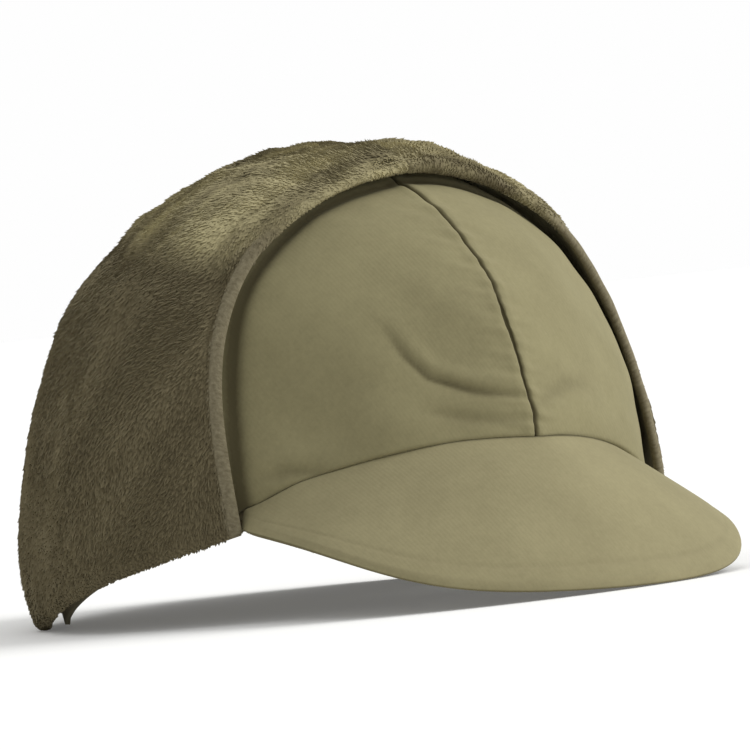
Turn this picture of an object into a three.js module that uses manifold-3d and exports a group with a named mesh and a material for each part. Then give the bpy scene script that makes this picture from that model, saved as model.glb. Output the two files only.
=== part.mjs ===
// Winter field cap with its pile-lined neck and ear flap folded up over the crown.
// Lengths are millimetres. Forms are laid out as the cap is worn: +X is the wearer's left,
// -Y the front, +Z up, with height zero at the middle of the seam between crown and peak.
// The finished cap is then tipped forward onto its peak and its nape, as it lies on a table.

import * as THREE from "three";
import { mergeVertices } from "three/addons/utils/BufferGeometryUtils.js";
import Module from "manifold-3d";

const wasm = await Module();
wasm.setup();

// Crown
const CROWN_HALF_WIDTH = 89.5;
const CROWN_FRONT_REACH = 93.5;
const CROWN_BACK_REACH = 105;
const CROWN_RISE = 108;
const CROWN_LEAN = 6;
const CROWN_WALL = 2;
const WIDEST_DROP = 42.4;
const WALL_TAPER = 0.12;
const TAPER_SPAN = 40;

// Folded flap
const FLAP_THICKNESS = 6.2;
const FLAP_TOP_THICKNESS = 5.6;
const FLAP_STANDOFF = 0.9;
const FLAP_EDGE_BOTTOM_Y = -53;
const FLAP_EDGE_TOP_Y = -30;
const FLAP_EDGE_TOP_HEIGHT = 82;
const FLAP_EDGE_BOW = 12;
const FLAP_EDGE_LIFT = 1.9;
const FLAP_EDGE_THINNING = 1.2;
const FLAP_EDGE_REACH = 26;
const FLAP_HEM = 2.4;
const CROWN_HEM = 1;

// Rim, measured down from the peak seam
const TEMPLE_DROP = 26;
const LOBE_DROP = 70;
const CROWN_RIM_LIFT = 5;
const ROOT_ARCH_HALF_WIDTH = 77.6;
const ROOT_ARCH_POWER = 2.25;
const ROOT_SKEW = 0.065;
const PEAK_SKEW = 0.04;

// Peak
const PEAK_HALF_WIDTH = 71.5;
const PEAK_END_Y = -53.5;
const PEAK_FORWARD = 74.5;
const PEAK_FRONT_DROP = 34;
const PEAK_END_LIFT = 8.5;
const PEAK_THICKNESS = 2.8;
const PEAK_CROWNING = 2.5;
const PEAK_EDGE = { acrossPower: 1.95, forwardPower: 3.3, endLiftPower: 5 };

// Sweatband
const BAND_THICKNESS = 1.6;
const BAND_HEIGHT = 28;
const BAND_SHOW = 2.4;

// Fits between pieces
const SEAM_GAP = 0.3;
const WALL_GAP = 1;
const PEAK_ROOT_GAP = 0.5;
const PEAK_END_SHARE = 0.98;
const REST_FLAT = 0.7;

// How square each plan half is: a pair of powers, lower ones are more pointed
const FRONT_PLAN = { lengthPower: 1.9, widthPower: 1.45 };
const BACK_PLAN = { lengthPower: 1.6, widthPower: 1.75 };
const CROWN_PROFILE_POWER = 2.15;
const FLAP_PROFILE_POWER = 2.15;

// Height of the flap's bottom fold round the cap. Turn is degrees from the front middle,
// drop is a share of the way from the temple's level down to the nape's.
const RIM_LEVELS = [
  { turn: 56, drop: -0.06 },
  { turn: 80, drop: 0.34 },
  { turn: 104, drop: 0.78 },
  { turn: 118, drop: 0.98 },
  { turn: 127, drop: 1.0 },
  { turn: 140, drop: 0.88 },
  { turn: 156, drop: 0.72 },
  { turn: 180, drop: 0.66 },
];

// Dents and swells of the cloth: where each is centred, how far it spreads and how deep it
// goes. Turn is degrees from the front middle, minus on the wearer's right.
const CROWN_DENTS = [
  { turn: -56, height: 10, reach: 34, depth: 3.2 },
  { turn: -27, height: 19, reach: 24, depth: 1.2 },
  { turn: -14, height: 7, reach: 20, depth: 0.7 },
  { turn: 40, height: 12, reach: 24, depth: 1.6 },
];
const FLAP_DENTS = [
  { turn: -84, height: 47, reach: 30, depth: -2.2 },
  { turn: 84, height: 47, reach: 30, depth: -2 },
];

// How the meshes are laid out
const GRID = { columns: 30, rows: 11, rowPower: 0.85 };
const PEAK_GRID = { columns: 32, rows: 5 };
const BAND_COLUMNS = 60;
const HEM_STEPS = 4;
const EDGE_SHARE = 0.4;
const OUTLINE_STEP = 0.004;
const LEAST_EDGE_SINE = 0.35;
const OUTLINE_INSET = 0.01;
const FLAP_POLE_BEHIND = 0.3;
const SOLVER_STEPS = 40;
const MERGE_DISTANCE = 1e-4;
const TEMPLE_BLEND = { start: 0.85, end: 1.15 };
const CHART_RATE_BELOW = 0.75;
const LARGEST_TIP = 30;

const radians = THREE.MathUtils.degToRad;
const lerp = THREE.MathUtils.lerp;
const clamp = THREE.MathUtils.clamp;

const crownOuter = {
  halfWidth: CROWN_HALF_WIDTH,
  frontReach: CROWN_FRONT_REACH,
  backReach: CROWN_BACK_REACH,
  rise: CROWN_RISE,
  power: CROWN_PROFILE_POWER,
};

// A dome grown evenly by one thickness at the sides and another at the top.
function grownDome(dome, side, top, power = dome.power) {
  return {
    halfWidth: dome.halfWidth + side,
    frontReach: dome.frontReach + side,
    backReach: dome.backReach + side,
    rise: dome.rise + top,
    power,
  };
}

const crownInner = grownDome(crownOuter, -CROWN_WALL, -CROWN_WALL);
const flapInner = grownDome(crownOuter, FLAP_STANDOFF, FLAP_STANDOFF);
const flapOuter = grownDome(
  crownOuter,
  FLAP_STANDOFF + FLAP_THICKNESS,
  FLAP_STANDOFF + FLAP_TOP_THICKNESS,
  FLAP_PROFILE_POWER,
);

// Share of the full plan size at a height: one at the widest level, zero at the apex.
function ringScale(dome, height) {
  const rise = (height + WIDEST_DROP) / dome.rise;
  if (rise >= 0) {
    return Math.pow(Math.max(0, 1 - Math.pow(rise, dome.power)), 1 / dome.power);
  }
  const below = -(height + WIDEST_DROP) / TAPER_SPAN;
  return 1 - WALL_TAPER * below * below;
}

// The crown leans forward more and more toward its top.
function leanShare(dome, height) {
  const rise = Math.max(0, (height + WIDEST_DROP) / dome.rise);
  return rise * rise;
}

// Point on a dome at a plan turn from the front middle, positive toward +X, and a height.
function domePoint(dome, turn, height) {
  const along = Math.cos(turn);
  const plan = along > 0 ? FRONT_PLAN : BACK_PLAN;
  const reach = along > 0 ? dome.frontReach : dome.backReach;
  const scale = ringScale(dome, height);
  const narrowing = 1 - Math.pow(Math.abs(along), plan.lengthPower);
  const width = Math.pow(Math.max(0, narrowing), 1 / plan.widthPower);
  return new THREE.Vector3(
    dome.halfWidth * scale * width * Math.sign(Math.sin(turn)),
    -reach * scale * along - CROWN_LEAN * leanShare(dome, height),
    height,
  );
}

// A point moved toward the middle of the dome by the dents it lies in.
function dented(point, dents) {
  const inward = point.clone().setZ(point.z + WIDEST_DROP).normalize().negate();
  let depth = 0;
  for (const dent of dents) {
    const centre = domePoint(crownOuter, radians(dent.turn), dent.height);
    const share = clamp(1 - point.distanceTo(centre) / dent.reach, 0, 1);
    depth += dent.depth * share * share * (3 - 2 * share);
  }
  return point.addScaledVector(inward, depth);
}

// Chart of a dome as seen from above: distance from the apex is one at the widest level.
function chartOf(dome, turn, height) {
  const rise = (height + WIDEST_DROP) / dome.rise;
  const distance = rise >= 0
    ? 1 - Math.asin(Math.pow(Math.min(1, rise), dome.power / 2)) / (Math.PI / 2)
    : 1 - rise * CHART_RATE_BELOW;
  return new THREE.Vector2(distance * Math.sin(turn), -distance * Math.cos(turn));
}

// Height on a dome at a distance from the apex on the chart.
function heightFromChart(dome, distance) {
  const rise = distance <= 1
    ? Math.pow(Math.sin((1 - distance) * Math.PI / 2), 2 / dome.power)
    : (1 - distance) / CHART_RATE_BELOW;
  return rise * dome.rise - WIDEST_DROP;
}

function domeFromChart(dome, chart) {
  const turn = Math.atan2(chart.x, -chart.y);
  return domePoint(dome, turn, heightFromChart(dome, chart.length()));
}

// Smooth value from a table of rows, by a key column and a value column.
function tableValue(rows, key, value, at) {
  const last = rows.length - 1;
  let low = 0;
  while (low < last - 1 && at > rows[low + 1][key]) {
    low += 1;
  }
  const share = clamp((at - rows[low][key]) / (rows[low + 1][key] - rows[low][key]), 0, 1);
  const before = rows[Math.max(0, low - 1)];
  const after = rows[Math.min(last, low + 2)];
  const slope = (a, b) => (b[value] - a[value]) / Math.max(1, b[key] - a[key]);
  const span = rows[low + 1][key] - rows[low][key];
  const startSlope = slope(before, rows[low + 1]) * span;
  const endSlope = slope(rows[low], after) * span;
  const s2 = share * share;
  const s3 = s2 * share;
  return (2 * s3 - 3 * s2 + 1) * rows[low][value]
    + (s3 - 2 * s2 + share) * startSlope
    + (3 * s2 - 2 * s3) * rows[low + 1][value]
    + (s3 - s2) * endSlope;
}

// Height of the flap's bottom fold at a turn from the front middle.
function rimHeight(turn) {
  const degrees = Math.abs(THREE.MathUtils.radToDeg(turn));
  const drop = tableValue(RIM_LEVELS, "turn", "drop", degrees);
  return -lerp(TEMPLE_DROP, LOBE_DROP, drop);
}

// The flap's front edge leans back toward the top and bows back over its upper half.
function edgePlaneY(height) {
  const share = (height + TEMPLE_DROP) / (FLAP_EDGE_TOP_HEIGHT + TEMPLE_DROP);
  const bow = FLAP_EDGE_BOW * Math.sin(clamp(share, 0, 1) * Math.PI) * share;
  return lerp(FLAP_EDGE_BOTTOM_Y, FLAP_EDGE_TOP_Y, share) + bow;
}

function solveBetween(low, high, isBelow) {
  let a = low;
  let b = high;
  for (let step = 0; step < SOLVER_STEPS; step += 1) {
    const middle = (a + b) / 2;
    if (isBelow(middle)) {
      a = middle;
    } else {
      b = middle;
    }
  }
  return (a + b) / 2;
}

function edgeTurn(dome, height) {
  const reach = -edgePlaneY(height) - CROWN_LEAN * leanShare(dome, height);
  const along = reach / (dome.frontReach * ringScale(dome, height));
  return Math.acos(clamp(along, -1, 1));
}

// Level at which the flap's front edge reaches the middle line over the crown.
function edgeTopHeight(dome) {
  const apex = dome.rise - WIDEST_DROP;
  return solveBetween(
    0,
    apex,
    (height) => -domePoint(dome, 0, height).y > -edgePlaneY(height),
  );
}

const templeTurn = edgeTurn(flapOuter, -TEMPLE_DROP);
const flapEdgeTop = edgeTopHeight(flapOuter);
const flapEdgeStart = chartOf(flapOuter, 0, flapEdgeTop).length();

// A place on the chart turned about the apex, so that what lies at one turn from the front
// middle comes to lie at another, and the back middle stays.
function turnedAbout(place, from, to) {
  const turn = Math.atan2(place.x, -place.y);
  const turned = to + (turn - from) * (Math.PI - to) / (Math.PI - from);
  return new THREE.Vector2(Math.sin(turned), -Math.cos(turned)).multiplyScalar(place.length());
}

// Turns of the flap's front edge at a distance from the apex: the real one, and the one at
// which the edge would run straight across the chart.
function frontEdgeTurns(distance) {
  const real = edgeTurn(flapOuter, heightFromChart(flapOuter, distance));
  return { real, straight: Math.acos(clamp(flapEdgeStart / distance, -1, 1)) };
}

// The chart of a wing with its front edge straightened, and the way back.
const wingSheet = {
  laid: (chart) => {
    const { real, straight } = frontEdgeTurns(chart.length());
    return turnedAbout(chart, real, straight);
  },
  worn: (place) => {
    const { real, straight } = frontEdgeTurns(place.length());
    return turnedAbout(place, straight, real);
  },
};
const crownSheet = {
  laid: (chart) => chart,
  worn: (place) => place,
};

// Outline of one flap wing in the chart, from the top middle down the front edge, round the
// rim and up to the nape's middle.
function wingOutline(share) {
  if (share < EDGE_SHARE) {
    const down = Math.sin((1 - share / EDGE_SHARE) * Math.PI / 2);
    const height = lerp(rimHeight(templeTurn), flapEdgeTop, down);
    return chartOf(flapOuter, edgeTurn(flapOuter, height), height);
  }
  const turn = lerp(templeTurn, Math.PI, (share - EDGE_SHARE) / (1 - EDGE_SHARE));
  return chartOf(flapOuter, turn, rimHeight(turn));
}

// Lower edge of the crown: the arch of the peak seam in front, then just above the fold.
function crownRimHeight(turn) {
  const reached = domePoint(crownOuter, turn, -TEMPLE_DROP);
  const across = Math.abs(reached.x) / ROOT_ARCH_HALF_WIDTH;
  const arch = -TEMPLE_DROP * Math.pow(across, ROOT_ARCH_POWER) - ROOT_SKEW * reached.x;
  const behind = rimHeight(turn) + CROWN_RIM_LIFT;
  const { start, end } = TEMPLE_BLEND;
  const share = THREE.MathUtils.smoothstep(
    Math.abs(turn),
    templeTurn * start,
    templeTurn * end,
  );
  return lerp(Math.max(arch, -TEMPLE_DROP), Math.min(behind, -TEMPLE_DROP + CROWN_RIM_LIFT), share);
}

function crownOutline(share, side) {
  const turn = share * Math.PI;
  return chartOf(crownOuter, turn, crownRimHeight(side * turn));
}

// Half of a domed shell, closed along the middle plane. Each column runs from a pole on the
// middle line out to the outline, rolls round the edge and returns along the inner wall. The
// columns are straight on the laid sheet, where each of them meets the outline only once.
function shellHalf({ outer, inner, outline, pole, sheet, side, hem, raise, dents }) {
  const loop = [];
  const { columns, rows, rowPower } = GRID;
  for (let row = 1; row <= rows; row += 1) {
    loop.push({ out: Math.pow(row / rows, rowPower), tuck: 1, depth: 0 });
  }
  for (let step = 1; step < HEM_STEPS; step += 1) {
    const angle = Math.PI * step / HEM_STEPS;
    loop.push({ out: 1, tuck: 1 - Math.sin(angle), depth: (1 - Math.cos(angle)) / 2 });
  }
  for (let row = rows; row >= 1; row -= 1) {
    loop.push({ out: Math.pow(row / rows, rowPower), tuck: 1, depth: 1 });
  }
  const chartLength = outer.rise * Math.PI / 2;
  const surfacePoint = (share, out, tuck, depth) => {
    const edge = outline(share, side);
    const laidEdge = sheet.laid(edge);
    const inset = sheet.worn(laidEdge.clone().lerp(pole, OUTLINE_INSET));
    const ray = edge.clone().sub(inset).divideScalar(OUTLINE_INSET);
    const before = outline(Math.max(0, share - OUTLINE_STEP), side);
    const along = outline(Math.min(1, share + OUTLINE_STEP), side).sub(before);
    const sine = Math.abs(ray.clone().normalize().cross(along.normalize()));
    const hemShare = hem / (chartLength * ray.length() * Math.max(sine, LEAST_EDGE_SINE));
    const chart = sheet.worn(pole.clone().lerp(laidEdge, out * (1 - hemShare * tuck)));
    const point = domeFromChart(outer, chart).lerp(domeFromChart(inner, chart), depth);
    point.add(point.clone().setZ(point.z + WIDEST_DROP).setLength(raise(point, depth)));
    dented(point, dents);
    point.x = Math.max(Math.abs(point.x), SEAM_GAP / 2) * side;
    if (share === 0 || share === 1) {
      point.x = side * SEAM_GAP / 2;
    }
    return point;
  };
  const points = [surfacePoint(0, 0, 1, 0), surfacePoint(0, 0, 1, 1)];
  for (let column = 0; column <= columns; column += 1) {
    for (const { out, tuck, depth } of loop) {
      points.push(surfacePoint(column / columns, out, tuck, depth));
    }
  }
  const at = (column, index) => 2 + column * loop.length + index;
  const faces = [];
  for (let column = 0; column < columns; column += 1) {
    faces.push([0, at(column, 0), at(column + 1, 0)]);
    for (let index = 0; index < loop.length - 1; index += 1) {
      faces.push([at(column, index), at(column, index + 1), at(column + 1, index + 1)]);
      faces.push([at(column, index), at(column + 1, index + 1), at(column + 1, index)]);
    }
    faces.push([at(column, loop.length - 1), 1, at(column + 1, loop.length - 1)]);
  }
  for (const [column, flip] of [[0, false], [columns, true]]) {
    const ring = [0, ...loop.map((_, index) => at(column, index)), 1];
    for (let index = 0; index < ring.length / 2 - 1; index += 1) {
      const opposite = ring.length - 1 - index;
      const corners = [ring[index], ring[index + 1], ring[opposite - 1], ring[opposite]];
      const first = [corners[0], corners[2], corners[1]];
      const second = [corners[0], corners[3], corners[2]];
      for (const face of [first, second]) {
        if (new Set(face).size === 3) {
          faces.push(flip ? [face[0], face[2], face[1]] : face);
        }
      }
    }
  }
  return closedGeometry(points, side > 0 ? faces : faces.map(([a, b, c]) => [a, c, b]));
}

function closedGeometry(points, faces) {
  const geometry = new THREE.BufferGeometry();
  geometry.setAttribute("position", new THREE.Float32BufferAttribute(
    points.flatMap((point) => point.toArray()), 3));
  geometry.setIndex(faces.flat());
  return geometry;
}

// Line of the peak seam, a fit clear of the crown's outer face.
function peakRoot(share) {
  const turn = share * templeTurn * PEAK_END_SHARE;
  const root = dented(domePoint(crownOuter, turn, crownRimHeight(turn)), CROWN_DENTS);
  const outward = new THREE.Vector3(root.x, root.y, 0).normalize();
  return root.addScaledVector(outward, PEAK_ROOT_GAP);
}

function peakEdge(share) {
  const across = Math.sin(share * Math.PI / 2);
  const { acrossPower, forwardPower, endLiftPower } = PEAK_EDGE;
  const narrowing = Math.max(0, 1 - Math.pow(Math.abs(across), acrossPower));
  const forward = Math.pow(narrowing, 1 / forwardPower);
  return new THREE.Vector3(
    PEAK_HALF_WIDTH * across,
    PEAK_END_Y - PEAK_FORWARD * forward,
    -PEAK_FRONT_DROP + PEAK_END_LIFT * Math.pow(Math.abs(across), endLiftPower)
      - PEAK_SKEW * PEAK_HALF_WIDTH * across,
  );
}

function peakPoint(share, out) {
  const point = peakRoot(share).lerp(peakEdge(share), out);
  const across = Math.cos(share * Math.PI / 2);
  point.z += PEAK_CROWNING * 4 * out * (1 - out) * across;
  return point;
}

function makePeak() {
  const { columns, rows } = PEAK_GRID;
  const points = [];
  for (let column = 0; column <= columns; column += 1) {
    const share = 2 * column / columns - 1;
    for (let row = 0; row <= rows; row += 1) {
      points.push(peakPoint(share, row / rows));
    }
    for (let row = rows; row >= 0; row -= 1) {
      const lowered = peakPoint(share, row / rows);
      lowered.z -= PEAK_THICKNESS;
      points.push(lowered);
    }
  }
  const ring = 2 * (rows + 1);
  const faces = [];
  for (let column = 0; column < columns; column += 1) {
    for (let index = 0; index < ring; index += 1) {
      const next = (index + 1) % ring;
      const a = column * ring + index;
      const b = column * ring + next;
      faces.push([a, b, b + ring]);
      faces.push([a, b + ring, a + ring]);
    }
  }
  for (const [base, flip] of [[0, false], [columns * ring, true]]) {
    for (let index = 0; index < rows; index += 1) {
      const opposite = ring - 1 - index;
      const quad = [base + index, base + index + 1, base + opposite - 1, base + opposite];
      for (const face of [[quad[0], quad[2], quad[1]], [quad[0], quad[3], quad[2]]]) {
        faces.push(flip ? [face[0], face[2], face[1]] : face);
      }
    }
  }
  return closedGeometry(points, faces);
}

function makeBand() {
  const outerDome = grownDome(crownInner, -WALL_GAP, -WALL_GAP);
  const innerDome = grownDome(outerDome, -BAND_THICKNESS, -BAND_THICKNESS);
  const ring = [
    { dome: outerDome, lift: -BAND_SHOW },
    { dome: outerDome, lift: BAND_HEIGHT / 2 },
    { dome: outerDome, lift: BAND_HEIGHT },
    { dome: innerDome, lift: BAND_HEIGHT },
    { dome: innerDome, lift: BAND_HEIGHT / 2 },
    { dome: innerDome, lift: -BAND_SHOW },
  ];
  const points = [];
  for (let column = 0; column < BAND_COLUMNS; column += 1) {
    const turn = 2 * Math.PI * column / BAND_COLUMNS - Math.PI;
    for (const { dome, lift } of ring) {
      points.push(dented(domePoint(dome, turn, crownRimHeight(turn) + lift), CROWN_DENTS));
    }
  }
  const faces = [];
  for (let column = 0; column < BAND_COLUMNS; column += 1) {
    const following = (column + 1) % BAND_COLUMNS;
    for (let index = 0; index < ring.length; index += 1) {
      const next = (index + 1) % ring.length;
      const a = column * ring.length + index;
      const b = column * ring.length + next;
      const c = following * ring.length + next;
      const d = following * ring.length + index;
      faces.push([a, d, c]);
      faces.push([a, c, b]);
    }
  }
  return closedGeometry(points, faces);
}

function solidOf(geometry) {
  const bare = geometry.clone();
  bare.deleteAttribute("normal");
  bare.deleteAttribute("uv");
  const merged = mergeVertices(bare, MERGE_DISTANCE);
  return new wasm.Manifold(new wasm.Mesh({
    numProp: 3,
    vertProperties: new Float32Array(merged.attributes.position.array),
    triVerts: new Uint32Array(merged.index.array),
  }));
}

function geometryOf(solid) {
  const mesh = solid.getMesh();
  const geometry = new THREE.BufferGeometry();
  geometry.setAttribute("position", new THREE.Float32BufferAttribute(mesh.vertProperties, 3));
  geometry.setIndex(Array.from(mesh.triVerts));
  return geometry;
}

const materials = {
  drill: { color: 0x948c68, roughness: 0.9, metalness: 0 },
  pile: { color: 0x5a513c, roughness: 1, metalness: 0 },
  band: { color: 0x4a4433, roughness: 0.95, metalness: 0 },
};

const crownPole = chartOf(crownOuter, 0, CROWN_RISE - WIDEST_DROP);
const flapPole = new THREE.Vector2(0, FLAP_POLE_BEHIND);

function makeCrownHalf(side) {
  return shellHalf({
    outer: crownOuter,
    inner: crownInner,
    outline: crownOutline,
    pole: crownPole,
    sheet: crownSheet,
    side,
    hem: CROWN_HEM,
    raise: () => 0,
    dents: CROWN_DENTS,
  });
}

// The wing stands off the crown along its front edge and is thinner there.
function wingRaise(point, depth) {
  const behindEdge = point.y - edgePlaneY(point.z);
  const nearEdge = 1 - THREE.MathUtils.smoothstep(behindEdge, 0, FLAP_EDGE_REACH);
  return lerp(-FLAP_EDGE_THINNING, FLAP_EDGE_LIFT, depth) * nearEdge;
}

function makeWing(side) {
  return shellHalf({
    outer: flapOuter,
    inner: flapInner,
    outline: wingOutline,
    pole: flapPole,
    sheet: wingSheet,
    side,
    hem: FLAP_HEM,
    raise: wingRaise,
    dents: FLAP_DENTS,
  });
}

const pieces = [
  { name: "crown_right", finish: "drill", geometry: makeCrownHalf(-1) },
  { name: "crown_left", finish: "drill", geometry: makeCrownHalf(1) },
  { name: "flap_right", finish: "pile", geometry: makeWing(-1) },
  { name: "flap_left", finish: "pile", geometry: makeWing(1) },
  { name: "peak", finish: "drill", geometry: makePeak() },
  { name: "sweatband", finish: "band", geometry: makeBand() },
];

// Lowest height of a geometry once it is tipped forward about the X axis.
function lowestWhenTipped(geometry, tip) {
  const position = geometry.attributes.position;
  let lowest = Infinity;
  for (let index = 0; index < position.count; index += 1) {
    const height = position.getY(index) * Math.sin(tip) + position.getZ(index) * Math.cos(tip);
    lowest = Math.min(lowest, height);
  }
  return lowest;
}

const geometryNamed = (name) => pieces.find((piece) => piece.name === name).geometry;
const restTip = solveBetween(
  0,
  radians(LARGEST_TIP),
  (tip) => lowestWhenTipped(geometryNamed("flap_left"), tip)
    < lowestWhenTipped(geometryNamed("peak"), tip),
);
const restLevel = lowestWhenTipped(geometryNamed("peak"), restTip) + REST_FLAT;

for (const piece of pieces) {
  piece.geometry.applyMatrix4(new THREE.Matrix4().makeRotationX(restTip));
  piece.geometry.translate(0, 0, -restLevel);
  piece.geometry.computeBoundingBox();
}

const wholeBox = new THREE.Box3();
for (const piece of pieces) {
  wholeBox.union(piece.geometry.boundingBox);
}
const middle = wholeBox.getCenter(new THREE.Vector3());
const size = wholeBox.getSize(new THREE.Vector3());
const table = new THREE.BoxGeometry(size.x * 2, size.y * 2, size.z);
table.translate(0, 0, -size.z / 2);
const tableSolid = solidOf(table);

const cap = new THREE.Group();
for (const { name, finish, geometry } of pieces) {
  geometry.translate(0, -middle.y, 0);
  const trimmed = geometryOf(solidOf(geometry).subtract(tableSolid));
  const mesh = new THREE.Mesh(trimmed, new THREE.MeshStandardMaterial(materials[finish]));
  mesh.name = name;
  cap.add(mesh);
}

export default cap;
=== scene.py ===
import logging
import math
from collections.abc import Callable, Sequence
from dataclasses import dataclass, field
from enum import Enum

import bpy
import numpy as np
from mathutils import Matrix, Vector


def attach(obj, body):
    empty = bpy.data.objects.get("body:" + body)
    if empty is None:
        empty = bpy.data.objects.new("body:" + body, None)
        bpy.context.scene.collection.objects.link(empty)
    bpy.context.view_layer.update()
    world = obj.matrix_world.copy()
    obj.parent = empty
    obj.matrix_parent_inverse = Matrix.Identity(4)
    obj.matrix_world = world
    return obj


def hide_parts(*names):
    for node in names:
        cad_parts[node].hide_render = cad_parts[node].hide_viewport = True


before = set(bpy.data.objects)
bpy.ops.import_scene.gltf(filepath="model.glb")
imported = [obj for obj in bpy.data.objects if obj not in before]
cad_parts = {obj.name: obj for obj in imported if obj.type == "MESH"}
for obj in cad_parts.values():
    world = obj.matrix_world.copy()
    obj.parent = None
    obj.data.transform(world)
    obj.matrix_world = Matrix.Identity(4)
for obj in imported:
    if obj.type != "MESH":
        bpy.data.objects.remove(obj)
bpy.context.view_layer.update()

log = logging.getLogger("winter_field_cap")

MM = 0.001
# Lengths over which a wave texture of scale one repeats, in scene units.
WAVE_REPEAT = 0.3142


class Side(Enum):
    """Side of the wearer, as the sign of its X."""

    RIGHT = -1
    LEFT = 1


# Small tools


def hex_to_linear(code: str) -> tuple[float, float, float, float]:
    """Turns an sRGB hex colour into a linear one.

    Args:
        code: six hex digits with a leading hash.

    Returns:
        Linear red, green, blue and an alpha of one.
    """
    channels = [int(code[i : i + 2], 16) / 255 for i in (1, 3, 5)]
    linear = [
        c / 12.92 if c <= 0.04045 else ((c + 0.055) / 1.055) ** 2.4 for c in channels
    ]
    return (linear[0], linear[1], linear[2], 1.0)


def add_node(
    tree: bpy.types.NodeTree,
    kind: str,
    settings: dict | None = None,
    links: dict | None = None,
) -> bpy.types.Node:
    """Adds a node with its settings and incoming links.

    Args:
        tree: the tree that gets the node.
        kind: the node's type name.
        settings: values by attribute name, or by input name or number.
        links: source sockets by input name or number.

    Returns:
        The new node.
    """
    node = tree.nodes.new(kind)
    for key, value in (settings or {}).items():
        if isinstance(key, str) and hasattr(node, key):
            setattr(node, key, value)
        else:
            node.inputs[key].default_value = value
    for key, source in (links or {}).items():
        tree.links.new(source, node.inputs[key])
    return node


def calculate(
    tree: bpy.types.NodeTree,
    operation: str,
    *values: float | bpy.types.NodeSocket,
    clamp: bool = False,
) -> bpy.types.NodeSocket:
    """Adds a math node.

    Args:
        tree: the node tree.
        operation: what the node works out.
        values: its inputs, as numbers or sockets.
        clamp: whether the result is kept between zero and one.

    Returns:
        The result.
    """
    numbers = {i: v for i, v in enumerate(values) if isinstance(v, (int, float))}
    sockets = {i: v for i, v in enumerate(values) if i not in numbers}
    settings = {"operation": operation, "use_clamp": clamp, **numbers}
    return add_node(tree, "ShaderNodeMath", settings, sockets).outputs[0]


def mixed(
    tree: bpy.types.NodeTree,
    share: bpy.types.NodeSocket,
    low: str | bpy.types.NodeSocket,
    high: str | bpy.types.NodeSocket,
) -> bpy.types.NodeSocket:
    """Adds a mix of two colours.

    Args:
        tree: the node tree.
        share: share of the second colour.
        low: the first colour, as a hex code or a socket.
        high: the second colour, as a hex code or a socket.

    Returns:
        The mixed colour.
    """
    settings = {"data_type": "RGBA"}
    links = {0: share}
    for key, colour in ((6, low), (7, high)):
        if isinstance(colour, str):
            settings[key] = hex_to_linear(colour)
        else:
            links[key] = colour
    return add_node(tree, "ShaderNodeMix", settings, links).outputs[2]


def noise(
    tree: bpy.types.NodeTree,
    size_mm: float,
    detail: float,
    roughness: float,
    place: bpy.types.NodeSocket,
) -> bpy.types.NodeSocket:
    """Adds noise.

    Args:
        tree: the node tree.
        size_mm: size of its largest features.
        detail: how many finer layers are added.
        roughness: how strong the finer layers are.
        place: where it is read.

    Returns:
        The noise, between zero and one.
    """
    settings = {"Scale": 1 / (size_mm * MM), "Detail": detail, "Roughness": roughness}
    return add_node(tree, "ShaderNodeTexNoise", settings, {"Vector": place}).outputs["Fac"]


def bumped(
    tree: bpy.types.NodeTree, height: bpy.types.NodeSocket, strength: float, depth_mm: float
) -> bpy.types.NodeSocket:
    """Adds fine relief.

    Args:
        tree: the node tree.
        height: the relief as a share of its depth.
        strength: how strongly it shows.
        depth_mm: its depth.

    Returns:
        The normal.
    """
    settings = {"Strength": strength, "Distance": depth_mm * MM}
    return add_node(tree, "ShaderNodeBump", settings, {"Height": height}).outputs[0]


def attribute(tree: bpy.types.NodeTree, name: str, output: str = "Fac") -> bpy.types.NodeSocket:
    """Reads one of the mesh's attributes in a material."""
    return add_node(tree, "ShaderNodeAttribute", {"attribute_name": name}).outputs[output]


def stored(tree: bpy.types.NodeTree, name: str, kind: str = "FLOAT") -> bpy.types.NodeSocket:
    """Reads one of the mesh's attributes in Geometry Nodes."""
    settings = {"data_type": kind, "Name": name}
    return add_node(tree, "GeometryNodeInputNamedAttribute", settings).outputs["Attribute"]


def new_material(name: str) -> tuple[bpy.types.Material, bpy.types.NodeTree]:
    """Makes a material and gives it with its empty node tree."""
    material = bpy.data.materials.new(name)
    material.use_nodes = True
    material.node_tree.nodes.clear()
    return material, material.node_tree


def finish_surface(
    tree: bpy.types.NodeTree,
    colour: bpy.types.NodeSocket,
    normal: bpy.types.NodeSocket,
    settings: dict[str, float | str],
) -> None:
    """Adds the shader of a cloth and the material's output.

    Args:
        tree: the node tree.
        colour: base colour.
        normal: normal with its fine relief.
        settings: the shader's other inputs by name, colours as hex codes.
    """
    inputs = {k: hex_to_linear(v) if isinstance(v, str) else v for k, v in settings.items()}
    links = {"Base Color": colour, "Normal": normal}
    shader = add_node(tree, "ShaderNodeBsdfPrincipled", inputs, links)
    add_node(tree, "ShaderNodeOutputMaterial", links={"Surface": shader.outputs[0]})


def lerp(low: np.ndarray | float, high: np.ndarray | float, share: np.ndarray | float):
    """Value between low and high at a share of the way."""
    return low + (high - low) * share


def smoothstep(values: np.ndarray, start: float, end: float) -> np.ndarray:
    """Smooth rise from zero at start to one at end."""
    share = np.clip((values - start) / (end - start), 0.0, 1.0)
    return share * share * (3 - 2 * share)


def rounded(distance: np.ndarray, radius: float) -> np.ndarray:
    """Half thickness of a rounded edge, as a share, by distance from the edge."""
    inside = 1 - np.clip(distance / radius, 0.0, 1.0)
    return np.sqrt(np.clip(1 - inside * inside, 0.0, 1.0))


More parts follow.
